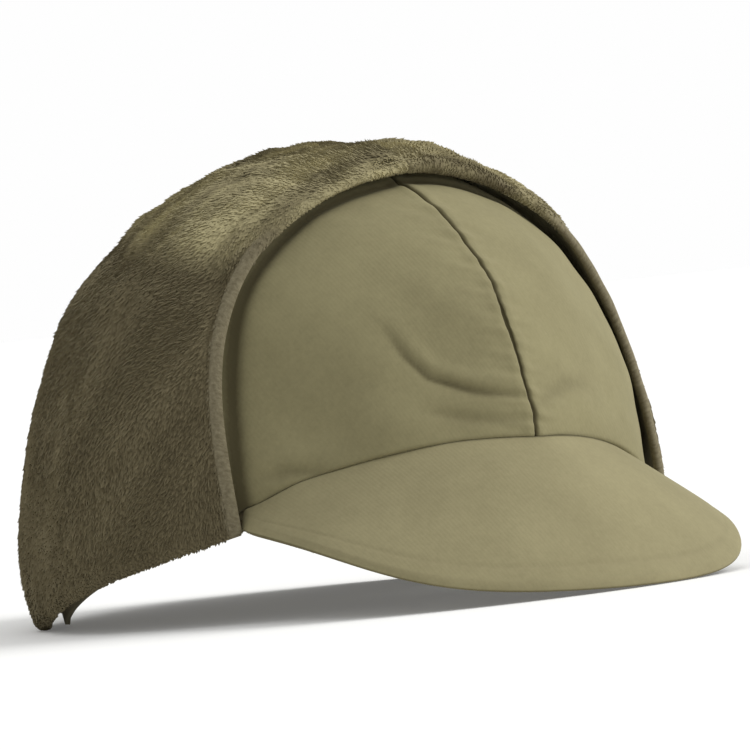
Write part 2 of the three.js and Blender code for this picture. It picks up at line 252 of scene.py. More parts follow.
def polyline_distance(
    points: np.ndarray, line: np.ndarray
) -> tuple[np.ndarray, np.ndarray, np.ndarray]:
    """Distance from points to a polyline.

    Args:
        points: array of plane points.
        line: the polyline's corners.

    Returns:
        The distance, signed plus on the line's left, the share of the way along the line, and
        the plain distance with the line's ends left open.
    """
    lengths = np.linalg.norm(np.diff(line, axis=0), axis=1)
    total = lengths.sum()
    best = np.full(points.shape[:-1], 1e9)
    signed = np.zeros_like(best)
    along = np.zeros_like(best)
    passed = 0.0
    for start, end, length in zip(line[:-1], line[1:], lengths):
        unit = (end - start) / length
        offset = points - start
        run = np.clip(offset @ unit, 0.0, length)
        foot = offset - run[..., None] * unit
        distance = np.linalg.norm(foot, axis=-1)
        cross = unit[0] * offset[..., 1] - unit[1] * offset[..., 0]
        nearer = distance < best
        best = np.where(nearer, distance, best)
        signed = np.where(nearer, np.sign(cross) * distance, signed)
        along = np.where(nearer, (passed + run) / total, along)
        passed += length
    return signed, along, best


@dataclass(frozen=True)
class Ripple:
    """Soft uneven relief made of waves in fixed random directions.

    Attributes:
        wavelength: mean wavelength in millimetres.
        depth: height of the relief in millimetres.
        seed: fixes the waves.
        waves: how many waves are added up.
        stretch: factor on the wavelength along X, Y and Z.
    """

    wavelength: float
    depth: float
    seed: int
    waves: int = 14
    stretch: tuple[float, float, float] = (1.0, 1.0, 1.0)

    def at(self, points: np.ndarray) -> np.ndarray:
        """Relief at points, in millimetres."""
        draw = np.random.default_rng(self.seed)
        total = np.zeros(points.shape[:-1])
        for _ in range(self.waves):
            direction = draw.normal(size=3)
            direction /= np.linalg.norm(direction)
            length = self.wavelength * draw.uniform(0.7, 1.5)
            wave = direction * 2 * math.pi / (length * np.array(self.stretch))
            total += np.sin(points @ wave + draw.uniform(0, 2 * math.pi))
        return total * self.depth / math.sqrt(self.waves)


# The cap's form


@dataclass(frozen=True)
class Dent:
    """A dent or, where its depth is negative, a swell of the cloth.

    Attributes:
        turn: degrees from the front middle, minus on the wearer's right.
        height: millimetres above the middle of the peak seam.
        reach: radius in millimetres.
        depth: millimetres toward the middle of the crown.
    """

    turn: float
    height: float
    reach: float
    depth: float


@dataclass(frozen=True)
class CapForm:
    """The form shared by crown, flap, band and peak, as worn, in millimetres.

    Turn is the angle round the crown from the front middle, plus toward +X. Height is zero at
    the middle of the seam between crown and peak. A grown dome is the crown's outer dome with
    one length added at the sides and another at the top.
    """

    half_width: float = 89.5
    front_reach: float = 93.5
    back_reach: float = 105.0
    rise: float = 108.0
    lean: float = 6.0
    widest_drop: float = 42.4
    wall_taper: float = 0.12
    taper_span: float = 40.0
    profile_power: float = 2.15
    front_powers: tuple[float, float] = (1.9, 1.45)
    back_powers: tuple[float, float] = (1.6, 1.75)
    chart_rate_below: float = 0.75
    temple_drop: float = 26.0
    lobe_drop: float = 70.0
    crown_rim_lift: float = 5.0
    root_arch_half_width: float = 77.6
    root_arch_power: float = 2.25
    root_skew: float = 0.065
    edge_bottom_y: float = -53.0
    edge_top_y: float = -30.0
    edge_top_height: float = 82.0
    edge_bow: float = 12.0
    seam_gap: float = 0.3
    rest_tip: float = 0.175627
    rest_level: float = 58.3338
    rest_shift: float = -0.6922
    rim_levels: tuple[tuple[float, float], ...] = (
        (56, -0.06),
        (80, 0.34),
        (104, 0.78),
        (118, 0.98),
        (127, 1.0),
        (140, 0.88),
        (156, 0.72),
        (180, 0.66),
    )

    def ring_scale(self, rise: float, height: np.ndarray) -> np.ndarray:
        """Share of the full plan size at a height."""
        risen = np.clip((height + self.widest_drop) / rise, 0.0, 1.0)
        above = (1 - risen**self.profile_power) ** (1 / self.profile_power)
        below = np.clip(-(height + self.widest_drop) / self.taper_span, 0.0, None)
        return above - self.wall_taper * below * below

    def lean_share(self, rise: float, height: np.ndarray) -> np.ndarray:
        """Share of the forward lean at a height."""
        risen = np.clip((height + self.widest_drop) / rise, 0.0, None)
        return risen * risen

    def point(
        self, grow: tuple[float, float], turn: np.ndarray, height: np.ndarray
    ) -> np.ndarray:
        """Point on a grown dome.

        Args:
            grow: millimetres added at the sides and at the top.
            turn: radians from the front middle.
            height: millimetres above the peak seam.

        Returns:
            Array of points with a last axis of three.
        """
        side, top = grow
        along = np.cos(turn)
        rise = self.rise + top
        scale = self.ring_scale(rise, height)
        front = along > 0
        reach = np.where(front, self.front_reach, self.back_reach) + side
        length_power = np.where(front, self.front_powers[0], self.back_powers[0])
        width_power = np.where(front, self.front_powers[1], self.back_powers[1])
        narrowing = np.clip(1 - np.abs(along) ** length_power, 0.0, None)
        width = narrowing ** (1 / width_power) * np.sign(np.sin(turn))
        x = (self.half_width + side) * scale * width
        y = -reach * scale * along - self.lean * self.lean_share(rise, height)
        return np.stack([x, y, height + 0 * x], axis=-1)

    def chart(self, grow: tuple[float, float], turn: np.ndarray, height: np.ndarray):
        """Place on the map of a grown dome, seen from above with the apex in the middle."""
        risen = (height + self.widest_drop) / (self.rise + grow[1])
        upper = 1 - np.arcsin(np.clip(risen, 0, 1) ** (self.profile_power / 2)) * 2 / math.pi
        distance = np.where(risen >= 0, upper, 1 - risen * self.chart_rate_below)
        return np.stack([distance * np.sin(turn), -distance * np.cos(turn)], axis=-1)

    def height_from_chart(self, grow: tuple[float, float], distance: np.ndarray) -> np.ndarray:
        """Height on a grown dome at a distance from the apex on the map."""
        upper = np.sin(np.clip(1 - distance, 0, 1) * math.pi / 2) ** (2 / self.profile_power)
        risen = np.where(distance <= 1, upper, (1 - distance) / self.chart_rate_below)
        return risen * (self.rise + grow[1]) - self.widest_drop

    def from_chart(self, grow: tuple[float, float], chart: np.ndarray) -> np.ndarray:
        """Point on a grown dome from its place on the map."""
        turn = np.arctan2(chart[..., 0], -chart[..., 1])
        height = self.height_from_chart(grow, np.linalg.norm(chart, axis=-1))
        return self.point(grow, turn, height)

    def bent(self, grow: tuple[float, float], place: np.ndarray, to_map: bool) -> np.ndarray:
        """Carries places between the map and a sheet on which the flap's edge is straight.

        Args:
            grow: the dome.
            place: places on the sheet or on the map, plus across.
            to_map: whether they are carried from the sheet to the map.

        Returns:
            The places on the other one.
        """
        distance = np.linalg.norm(place, axis=-1)
        real = self.edge_turn(grow, self.height_from_chart(grow, distance))
        top = self.chart(grow, np.array(0.0), np.array(self.edge_top(grow)))
        share = np.linalg.norm(top) / np.maximum(distance, 1e-6)
        straight = np.arccos(np.clip(share, -1, 1))
        source, target = (straight, real) if to_map else (real, straight)
        turn = np.arctan2(place[..., 0], -place[..., 1])
        turned = target + (turn - source) * (math.pi - target) / (math.pi - source)
        return np.stack([distance * np.sin(turned), -distance * np.cos(turned)], axis=-1)

    def outward(self, grow: tuple[float, float], chart: np.ndarray) -> np.ndarray:
        """Outward unit normal of a grown dome at places on the map."""
        step = 2e-3
        across = np.array([step, 0.0])
        along = np.array([0.0, step])
        a = self.from_chart(grow, chart + across) - self.from_chart(grow, chart - across)
        b = self.from_chart(grow, chart + along) - self.from_chart(grow, chart - along)
        normal = np.cross(a, b)
        normal /= np.maximum(np.linalg.norm(normal, axis=-1, keepdims=True), 1e-9)
        return normal

    def rim_height(self, turn: np.ndarray) -> np.ndarray:
        """Height of the flap's bottom fold at a turn."""
        table = np.array(self.rim_levels)
        keys, drops = table[:, 0], table[:, 1]
        degrees = np.clip(np.abs(np.degrees(turn)), keys[0], keys[-1])
        low = np.clip(np.searchsorted(keys, degrees, side="left") - 1, 0, len(keys) - 2)
        before = np.maximum(low - 1, 0)
        after = np.minimum(low + 2, len(keys) - 1)
        span = keys[low + 1] - keys[low]
        share = (degrees - keys[low]) / span
        start = (drops[low + 1] - drops[before]) / (keys[low + 1] - keys[before]) * span
        end = (drops[after] - drops[low]) / (keys[after] - keys[low]) * span
        s2, s3 = share**2, share**3
        drop = (
            (2 * s3 - 3 * s2 + 1) * drops[low]
            + (s3 - 2 * s2 + share) * start
            + (3 * s2 - 2 * s3) * drops[low + 1]
            + (s3 - s2) * end
        )
        return -lerp(self.temple_drop, self.lobe_drop, drop)

    def edge_plane_y(self, height: np.ndarray) -> np.ndarray:
        """Where the flap's front edge lies, front to back, at a height."""
        share = (height + self.temple_drop) / (self.edge_top_height + self.temple_drop)
        bow = self.edge_bow * np.sin(np.clip(share, 0, 1) * math.pi) * share
        return lerp(self.edge_bottom_y, self.edge_top_y, share) + bow

    def edge_turn(self, grow: tuple[float, float], height: np.ndarray) -> np.ndarray:
        """Turn at which the flap's front edge passes a height."""
        rise = self.rise + grow[1]
        reach = -self.edge_plane_y(height) - self.lean * self.lean_share(rise, height)
        full = (self.front_reach + grow[0]) * self.ring_scale(rise, height)
        return np.arccos(np.clip(reach / np.maximum(full, 1e-6), -1, 1))

    def edge_top(self, grow: tuple[float, float]) -> float:
        """Height at which the flap's front edge meets the middle line."""
        low, high = 0.0, self.rise + grow[1] - self.widest_drop
        for _ in range(40):
            middle = (low + high) / 2
            front = self.point(grow, np.array(0.0), np.array(middle))[1]
            if -front > -self.edge_plane_y(middle):
                low = middle
            else:
                high = middle
        return low

    def crown_rim(self, grow: tuple[float, float], turn: np.ndarray) -> np.ndarray:
        """Height of the crown's lower edge: the peak seam in front, the rim behind."""
        temple = float(self.edge_turn(grow, np.array(-self.temple_drop)))
        reached = self.point((0, 0), turn, np.full_like(turn, -self.temple_drop))
        across = np.abs(reached[..., 0]) / self.root_arch_half_width
        arch = -self.temple_drop * across**self.root_arch_power
        arch = np.maximum(arch - self.root_skew * reached[..., 0], -self.temple_drop)
        lifted = -self.temple_drop + self.crown_rim_lift
        behind = np.minimum(self.rim_height(turn) + self.crown_rim_lift, lifted)
        share = smoothstep(np.abs(turn), temple * 0.85, temple * 1.15)
        return lerp(arch, behind, share)

    def dented(self, points: np.ndarray, dents: Sequence[Dent]) -> np.ndarray:
        """Points moved by the dents that they lie in."""
        inward = -(points + np.array([0, 0, self.widest_drop]))
        inward /= np.linalg.norm(inward, axis=-1, keepdims=True)
        return points + inward * self.dent_depth(points, dents)[..., None]

    def dent_depth(self, points: np.ndarray, dents: Sequence[Dent]) -> np.ndarray:
        """Depth of the dents that points lie in, in millimetres."""
        depth = np.zeros(points.shape[:-1])
        for dent in dents:
            turn = np.array(math.radians(dent.turn))
            centre = self.point((0, 0), turn, np.array(dent.height))
            away = np.linalg.norm(points - centre, axis=-1)
            depth += dent.depth * smoothstep(1 - away / dent.reach, 0, 1)
        return depth

    def at_rest(self, points: np.ndarray) -> np.ndarray:
        """Points of the worn cap as it lies on the table, kept above the table."""
        cosine, sine = math.cos(self.rest_tip), math.sin(self.rest_tip)
        x, y, z = points[..., 0], points[..., 1], points[..., 2]
        level = y * sine + z * cosine + self.rest_level
        return np.stack(
            [x, y * cosine - z * sine - self.rest_shift, np.maximum(level, 0.02)], axis=-1
        )

    def turned(self, directions: np.ndarray) -> np.ndarray:
        """Directions of the worn cap as it lies on the table."""
        cosine, sine = math.cos(self.rest_tip), math.sin(self.rest_tip)
        x, y, z = directions[..., 0], directions[..., 1], directions[..., 2]
        return np.stack([x, y * cosine - z * sine, y * sine + z * cosine], axis=-1)


FORM = CapForm()
CROWN_OUTER = (0.0, 0.0)
CROWN_WALL = 2.0
CROWN_INNER = (-CROWN_WALL, -CROWN_WALL)
FLAP_STANDOFF = 0.9
FLAP_INNER = (FLAP_STANDOFF, FLAP_STANDOFF)
FLAP_OUTER = (FLAP_STANDOFF + 6.2, FLAP_STANDOFF + 5.6)

CROWN_DENTS = (
    Dent(-56, 10, 34, 3.2),
    Dent(-27, 19, 24, 1.2),
    Dent(-14, 7, 20, 0.7),
    Dent(40, 12, 24, 1.6),
)
FLAP_DENTS = (Dent(-84, 47, 30, -2.2), Dent(84, 47, 30, -2.0))
# Where the padding is pressed thin or, where negative, stands fuller.
PADDING = (
    Dent(62, 8, 48, 1.8),
    Dent(30, 60, 52, -2.3),
    Dent(-118, 26, 44, -2.4),
    Dent(-125, -60, 34, 1.6),
    Dent(-150, 48, 30, 1.2),
)


# Meshes


def mesh_piece(
    name: str,
    points: np.ndarray,
    faces: list[tuple[int, ...]],
    attributes: dict[str, np.ndarray] | None = None,
) -> bpy.types.Object:
    """Makes a smooth mesh object whose faces point outward.

    Args:
        name: the piece's name.
        points: corner places in millimetres, in the rest frame.
        faces: corner numbers of each face.
        attributes: a number or a direction for each corner, by name.

    Returns:
        The object, linked to the scene.
    """
    mesh = bpy.data.meshes.new(name)
    mesh.from_pydata((points * MM).tolist(), [], faces)
    mesh.update()
    mesh.calc_loop_triangles()
    corners = np.empty(len(mesh.loop_triangles) * 3, dtype=np.int32)
    mesh.loop_triangles.foreach_get("vertices", corners)
    a, b, c = (points[corners.reshape(-1, 3)[:, k]] for k in range(3))
    if np.einsum("ij,ij->", a, np.cross(b, c)) < 0:
        mesh.flip_normals()
    mesh.polygons.foreach_set("use_smooth", [True] * len(mesh.polygons))
    for key, values in (attributes or {}).items():
        is_direction = values.ndim == 2
        kind = "FLOAT_VECTOR" if is_direction else "FLOAT"
        layer = mesh.attributes.new(key, kind, "POINT")
        slot = "vector" if is_direction else "value"
        layer.data.foreach_set(slot, values.astype(np.float32).ravel())
    piece = bpy.data.objects.new(name, mesh)
    bpy.context.scene.collection.objects.link(piece)
    return piece


def sandwich_faces(columns: int, rows: int, has_pole: bool) -> list[tuple[int, ...]]:
    """Faces of a closed shell of two grids that share their outermost row.

    The upper grid comes first, then the lower grid without its last row, then the upper and
    the lower pole where there are poles.

    Args:
        columns: columns of each grid.
        rows: rows of each grid.
        has_pole: whether the first row closes on a pole, and otherwise on a wall.

    Returns:
        Corner numbers of each face.
    """
    count = columns * rows

    def up(c: int, r: int) -> int:
        """Number of a corner of the upper grid."""
        return c * rows + r

    def down(c: int, r: int) -> int:
        """Number of a corner of the lower grid."""
        return up(c, r) if r == rows - 1 else count + c * (rows - 1) + r

    faces: list[tuple[int, ...]] = []
    top_pole = count + columns * (rows - 1)
    low_pole = top_pole + 1
    for c in range(columns - 1):
        for r in range(rows - 1):
            faces.append((up(c, r), up(c, r + 1), up(c + 1, r + 1), up(c + 1, r)))
            faces.append((down(c, r), down(c + 1, r), down(c + 1, r + 1), down(c, r + 1)))
        if has_pole:
            faces.append((top_pole, up(c, 0), up(c + 1, 0)))
            faces.append((low_pole, down(c + 1, 0), down(c, 0)))
        else:
            faces.append((up(c, 0), up(c + 1, 0), down(c + 1, 0), down(c, 0)))
    for c, flip in ((0, False), (columns - 1, True)):
        wall = []
        for r in range(rows - 1):
            face = (up(c, r + 1), up(c, r), down(c, r), down(c, r + 1))
            wall.append(tuple(dict.fromkeys(face)))
        if has_pole:
            wall.append((up(c, 0), top_pole, low_pole, down(c, 0)))
        faces.extend(face[::-1] if flip else face for face in wall)
    return faces


def sandwich(
    name: str,
    upper: np.ndarray,
    lower: np.ndarray,
    poles: np.ndarray | None,
    attributes: dict[str, tuple[np.ndarray, np.ndarray]],
) -> bpy.types.Object:
    """Makes a closed shell from its upper and lower grid.

    Args:
        name: the piece's name.
        upper: outer grid, columns by rows by three, in the rest frame.
        lower: inner grid, whose last row is the outer grid's.
        poles: outer and inner pole, or None.
        attributes: values on the outer and inner grid, by name.

    Returns:
        The piece.
    """
    columns, rows = upper.shape[:2]
    parts = [upper.reshape(-1, 3), lower[:, :-1].reshape(-1, 3)]
    if poles is not None:
        parts.append(poles)
    layers = {}
    for key, (outer, inner) in attributes.items():
        tail = outer.shape[2:]
        values = [outer.reshape(-1, *tail), inner[:, :-1].reshape(-1, *tail)]
        if poles is not None:
            values.append(np.stack([outer[0, 0], inner[0, 0]]))
        layers[key] = np.concatenate(values)
    faces = sandwich_faces(columns, rows, poles is not None)
    return mesh_piece(name, np.concatenate(parts), faces, layers)


def declare(piece: bpy.types.Object, nodes: Sequence[str]) -> None:
    """Ties a finished piece to the frame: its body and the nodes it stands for."""
    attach(piece, "root")
    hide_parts(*nodes)


# Finishes


@dataclass(frozen=True)
class CottonDrill:
    """Cotton drill, woven in a steep twill and washed soft.

    Attributes:
        name: the material's name.
        lit: the cloth's paler colour, toward which faded patches and the lighter peak edge run.
        deep: the cloth's darker colour, which the painted shade in folds, seams and gaps takes.
        thread_mm: distance between twill lines.
        relief_mm: height of the weave.
        mottle_mm: size of the soft patches of fading.
        mottle_share: how much the patches count in the colour.
        lit_share: share of the lit colour in all the cloth.
        fine_mm: size of the specks.
        fine_share: how much the specks count in the colour.
        twill_turn: slope of the twill about Y and Z in degrees.
        line_share: how much the twill lines count in the relief.
    """

    name: str
    lit: str
    deep: str
    thread_mm: float = 1.1
    relief_mm: float = 0.05
    mottle_mm: float = 26.0
    mottle_share: float = 0.55
    lit_share: float = 0.22
    fine_mm: float = 1.6
    fine_share: float = 0.3
    twill_turn: tuple[float, float] = (28.0, 14.0)
    line_share: float = 0.6

    def material(self) -> bpy.types.Material:
        """Builds the material.

        Returns:
            A matt cloth with twill relief, faded patches and painted shade in its folds.
        """
        material, tree = new_material(self.name)
        place = add_node(tree, "ShaderNodeTexCoord").outputs["Object"]
        mottle = noise(tree, self.mottle_mm, 5.0, 0.62, place)
        fine = noise(tree, self.fine_mm, 3.0, 0.7, place)
        faded = calculate(tree, "MULTIPLY_ADD", mottle, self.mottle_share, self.lit_share)
        speckled = calculate(tree, "MULTIPLY_ADD", fine, self.fine_share, faded)
        # Painted shade stored on the mesh darkens grooves, seams and gaps toward the deep
        # colour.
        painted_shade = attribute(tree, "painted_shade")
        shade = calculate(tree, "SUBTRACT", speckled, painted_shade, clamp=True)
        # Real drill has two or three twill lines to a millimetre. They are drawn about one
        # millimetre apart, which is as fine as still shows.
        about_y, about_z = (math.radians(angle) for angle in self.twill_turn)
        twill = add_node(
            tree, "ShaderNodeMapping", {"Rotation": (0.0, about_y, about_z)}, {"Vector": place}
        )
        wave = {
            "wave_type": "BANDS",
            "bands_direction": "X",
            "Scale": WAVE_REPEAT / (self.thread_mm * MM),
            "Distortion": 1.5,
            "Detail": 2.0,
        }
        lines = add_node(tree, "ShaderNodeTexWave", wave, {"Vector": twill.outputs[0]})
        weave = calculate(tree, "MULTIPLY_ADD", lines.outputs["Fac"], self.line_share, fine)
        # The soft sheen gives the eye the fuzz of washed cotton.
        finish_surface(
            tree,
            mixed(tree, shade, self.deep, self.lit),
            bumped(tree, weave, 0.4, self.relief_mm),
            {
                "Roughness": 0.92,
                "Specular IOR Level": 0.25,
                "Sheen Weight": 0.12,
                "Sheen Roughness": 0.5,
                "Sheen Tint": "#D8D2AE",
            },
        )
        return material


@dataclass(frozen=True)
class WoolPile:
    """Short clipped wool pile, with painted shade toward the tufts' roots and painted light on
    the flap's top.

    Attributes:
        name: the material's name.
        tip: colour of the tufts' tips.
        root: colour of the painted shade toward the tufts' roots, on the backing and in the
            hem's sunk loops.
        top_highlight: paler colour painted in patches on the flap's top as light from above.
        hem: colour of the bare rolled hem, lighter than the pile, partly painted light on its
            lit front edge.
        streak_mm: width of the streaks where the nap lies differently.
        streak_stretch: factor on the streaks' fineness along the sheet's axes.
        loop_mm: size of the backing's loops.
        loop_depth_mm: depth of the loops.
    """

    name: str
    tip: str
    root: str
    top_highlight: str
    hem: str
    streak_mm: float = 11.0
    streak_stretch: tuple[float, float, float] = (0.3, 1.0, 1.0)
    loop_mm: float = 1.2
    loop_depth_mm: float = 0.5

    def material(self) -> bpy.types.Material:
        """Builds the material.

        Returns:
            A matt pile with painted shade toward its roots, painted light on the flap's top, and
            a soft sheen.
        """
        material, tree = new_material(self.name)
        # The nap lies in streaks that run over the cap from side to side.
        sheet = attribute(tree, "sheet", "Vector")
        along = add_node(
            tree, "ShaderNodeMapping", {"Scale": self.streak_stretch}, {"Vector": sheet}
        )
        streaks = noise(tree, self.streak_mm, 4.0, 0.6, along.outputs[0])
        lift = calculate(tree, "MULTIPLY_ADD", streaks, 0.9, -0.3)
        # The tufts are painted darker toward their roots: painted shade down in the pile.
        tipped = calculate(tree, "MULTIPLY_ADD", attribute(tree, "tip"), 0.5, lift)
        tint = attribute(tree, "tint")
        varied = calculate(tree, "MULTIPLY_ADD", tint, 0.25, tipped, clamp=True)
        pile = mixed(tree, varied, self.root, self.tip)
        # Patches of the flap's top, along the streaks, are painted paler: painted light from
        # above.
        light_patches = calculate(tree, "MULTIPLY_ADD", streaks, 3.0, -0.95, clamp=True)
        pale = calculate(tree, "MULTIPLY", light_patches, attribute(tree, "rub"))
        # The bare hem takes its own colour, lighter than the pile, partly as painted light on
        # the lit front edge.
        hem = attribute(tree, "hem")
        whole = mixed(tree, hem, mixed(tree, pale, pile, self.top_highlight), self.hem)
        # Loops of the backing, about a millimetre apart, break up the bare hem, with painted
        # shade where they sink.
        loops = noise(tree, self.loop_mm, 3.0, 0.65, sheet)
        loop_shade = calculate(tree, "MULTIPLY_ADD", loops, -1.6, 1.15, clamp=True)
        hem_loop_shade = calculate(tree, "MULTIPLY", loop_shade, hem)
        # The strong sheen gives the eye the pale bloom of pile seen along its tips.
        finish_surface(
            tree,
            mixed(tree, hem_loop_shade, whole, self.root),
            bumped(tree, loops, 0.7, self.loop_depth_mm),
            {
                "Roughness": 0.95,
                "Specular IOR Level": 0.15,
                "Sheen Weight": 0.25,
                "Sheen Roughness": 0.45,
                "Sheen Tint": "#CFC6A0",
            },
        )
        return material


# Crown


@dataclass(frozen=True)
class Fold:
    """A fold creased into the front of the crown.

    Attributes:
        line: places across and up the front, in millimetres, as X and height.
        width: half width of the groove.
        depth: depth of the groove.
        roll: height of the roll of cloth above the groove.
    """

    line: tuple[tuple[float, float], ...]
    width: float
    depth: float
    roll: float


@dataclass
class Crown:
    """The soft crown, sewn from two halves along a centre seam.

    Attributes:
        columns: mesh columns round each half.
        rows: mesh rows from apex to rim.
        column_power: how much closer the columns lie toward the front seam.
        row_power: how much closer the rows lie toward the rim.
        hem: radius of the rolled lower edge.
        seam_depth: depth of the groove along the centre seam.
        pucker: height of the small gathers beside the seam.
        shadow_line: place, half width, depth and painted shade of the sunk line beside the flap,
            where the flap's edge casts its shadow.
        folds: the creases in the front.
        drape: broad unevenness of the cloth.
        crumple: fine unevenness of the cloth.
    """

    columns: int = 230
    rows: int = 130
    column_power: float = 1.35
    row_power: float = 1.15
    hem: float = 1.0
    seam_depth: float = 1.0
    pucker: float = 0.16
    shadow_line: tuple[float, float, float, float] = (-4.2, 2.0, 0.9, 0.8)
    folds: tuple[Fold, ...] = (
        Fold(((-32.5, 29), (-30, 23), (-25.6, 17.4), (-15.1, 13.6), (-2, 11.4)), 1.2, 1.2, 0.8),
        Fold(((-29, 8.4), (-16.6, 6.0), (-2, 4.6)), 1.7, 0.55, 0.35),
        Fold(((-66, -11), (-61, -8), (-52, -8)), 1.8, 0.7, 0.5),
        Fold(((-67, -16), (-60, -14), (-50, -13.5)), 1.6, 0.6, 0.5),
        Fold(((30, 10), (18, 12), (1, 9)), 2.2, 0.5, 0.5),
    )
    drape: Ripple = field(default_factory=lambda: Ripple(44.0, 0.55, 11))
    crumple: Ripple = field(default_factory=lambda: Ripple(13.0, 0.1, 12))

    def relief(self, worn: np.ndarray) -> tuple[np.ndarray, np.ndarray]:
        """Relief of seam, folds and drape, and their painted shade.

        Args:
            worn: points of the worn crown.

        Returns:
            Millimetres outward, and the painted shade of the grooves, the seam and the line
            beside the flap, as a share.
        """
        x, height = worn[..., 0], worn[..., 2]
        forward = smoothstep(-worn[..., 1], -5.0, 25.0)
        relief = self.drape.at(worn) + self.crumple.at(worn)
        painted_shade = np.zeros_like(relief)
        flat = np.stack([x, height], axis=-1)
        for fold in self.folds:
            signed, along, away = polyline_distance(flat, np.array(fold.line))
            ends = np.sin(np.clip(along, 0.02, 0.98) * math.pi) ** 0.5
            groove = np.exp(-((away / fold.width) ** 2))
            above = np.exp(-(((signed - 2.4 * fold.width) / (1.9 * fold.width)) ** 2))
            relief += forward * ends * (fold.roll * above - fold.depth * groove)
            # Painted shade darkens each groove.
            painted_shade += 0.4 * fold.depth * forward * ends * groove
        seam = np.exp(-((x / 0.55) ** 2))
        lips = np.exp(-(((np.abs(x) - 2.2) / 1.5) ** 2))
        near = np.exp(-((x / 8.0) ** 2)) * (1 - seam)
        gathers = np.sin(height * 2 * math.pi / 6.3 + 1.4 * np.sin(height / 9) + x * 0.5)
        gathers += 0.8 * np.sin(height * 2 * math.pi / 3.1 + x * 0.4 + 2.1)
        relief += 0.2 * lips - self.seam_depth * seam + self.pucker * near * gathers
        # Painted shade darkens the seam's groove.
        painted_shade += 0.9 * seam
        # Beside the flap's edge the crown is sunk and darkened with painted shadow.
        ahead = FORM.edge_plane_y(height) - worn[..., 1]
        line_at, line_width, line_depth, line_shade = self.shadow_line
        beside = np.exp(-(((ahead - line_at) / line_width) ** 2))
        relief -= line_depth * beside
        painted_shade += line_shade * beside
        return relief, np.clip(painted_shade, 0, 1)

    def build(self, side: Side) -> bpy.types.Object:
        """Builds one half of the crown.

        Args:
            side: which half.

        Returns:
            The piece.
        """
        sign = side.value
        share = np.linspace(0, 1, self.columns) ** self.column_power
        turn = share * math.pi
        rim = FORM.crown_rim(FLAP_OUTER, sign * turn)
        reach = np.linalg.norm(FORM.chart(CROWN_OUTER, turn, rim), axis=-1)
        out = np.linspace(0, 1, self.rows + 1)[1:]
        out = 1 - (1 - out) ** self.row_power
        distance = reach[:, None] * out[None, :]
        turns = np.broadcast_to(turn[:, None], distance.shape)
        chart = np.stack(
            [sign * distance * np.sin(turns), -distance * np.cos(turns)], axis=-1
        )
        from_rim = (reach[:, None] - distance) * FORM.rise * math.pi / 2
        roll = rounded(from_rim, self.hem)
        roll[:, -1] = 0
        outer = FORM.from_chart(CROWN_OUTER, chart)
        inner = FORM.from_chart(CROWN_INNER, chart)
        normal = FORM.outward(CROWN_OUTER, chart)
        relief, painted_shade = self.relief(outer)
        grids = []
        for sign_up in (1, -1):
            worn = lerp(outer, inner, (0.5 - 0.5 * sign_up * roll)[..., None])
            worn = FORM.dented(worn, CROWN_DENTS)
            worn = worn + normal * relief[..., None]
            worn[..., 0] += self.wander(worn)
            worn[..., 0] = sign * np.maximum(sign * worn[..., 0], FORM.seam_gap / 2)
            worn[0, :, 0] = sign * FORM.seam_gap / 2 + self.wander(worn[0])
            worn[-1, :, 0] = sign * FORM.seam_gap / 2
            grids.append(worn)
        apex = FORM.rise - FORM.widest_drop
        poles = np.array(
            [
                [sign * FORM.seam_gap / 2, -FORM.lean, apex],
                [sign * FORM.seam_gap / 2, -FORM.lean, apex - CROWN_WALL],
            ]
        )
        return sandwich(
            f"crown_cloth_{side.name.lower()}",
            FORM.at_rest(grids[0]),
            FORM.at_rest(grids[1]),
            FORM.at_rest(poles),
            {"painted_shade": (painted_shade, painted_shade)},
        )

    def wander(self, worn: np.ndarray) -> np.ndarray:
        """Sideways wander of the centre seam, in millimetres."""
        height = worn[..., 2]
        sway = 0.6 * np.sin(height / 6.5 + 0.8) + 0.3 * np.sin(height / 2.9)
        near = np.exp(-((worn[..., 0] / 10.0) ** 2)) * smoothstep(-worn[..., 1], 10, 40)
        return sway * near * smoothstep(height, 0.0, 8.0)

    def dress(self, finish: CottonDrill) -> list[bpy.types.Object]:
        """Builds both halves and gives them their cloth.

        Args:
            finish: the cloth.

        Returns:
            The pieces.
        """
        material = finish.material()
        pieces = []
        for side in Side:
            piece = self.build(side)
            piece.data.materials.append(material)
            declare(piece, [f"crown_{side.name.lower()}"])
            pieces.append(piece)
        return pieces


# Flap


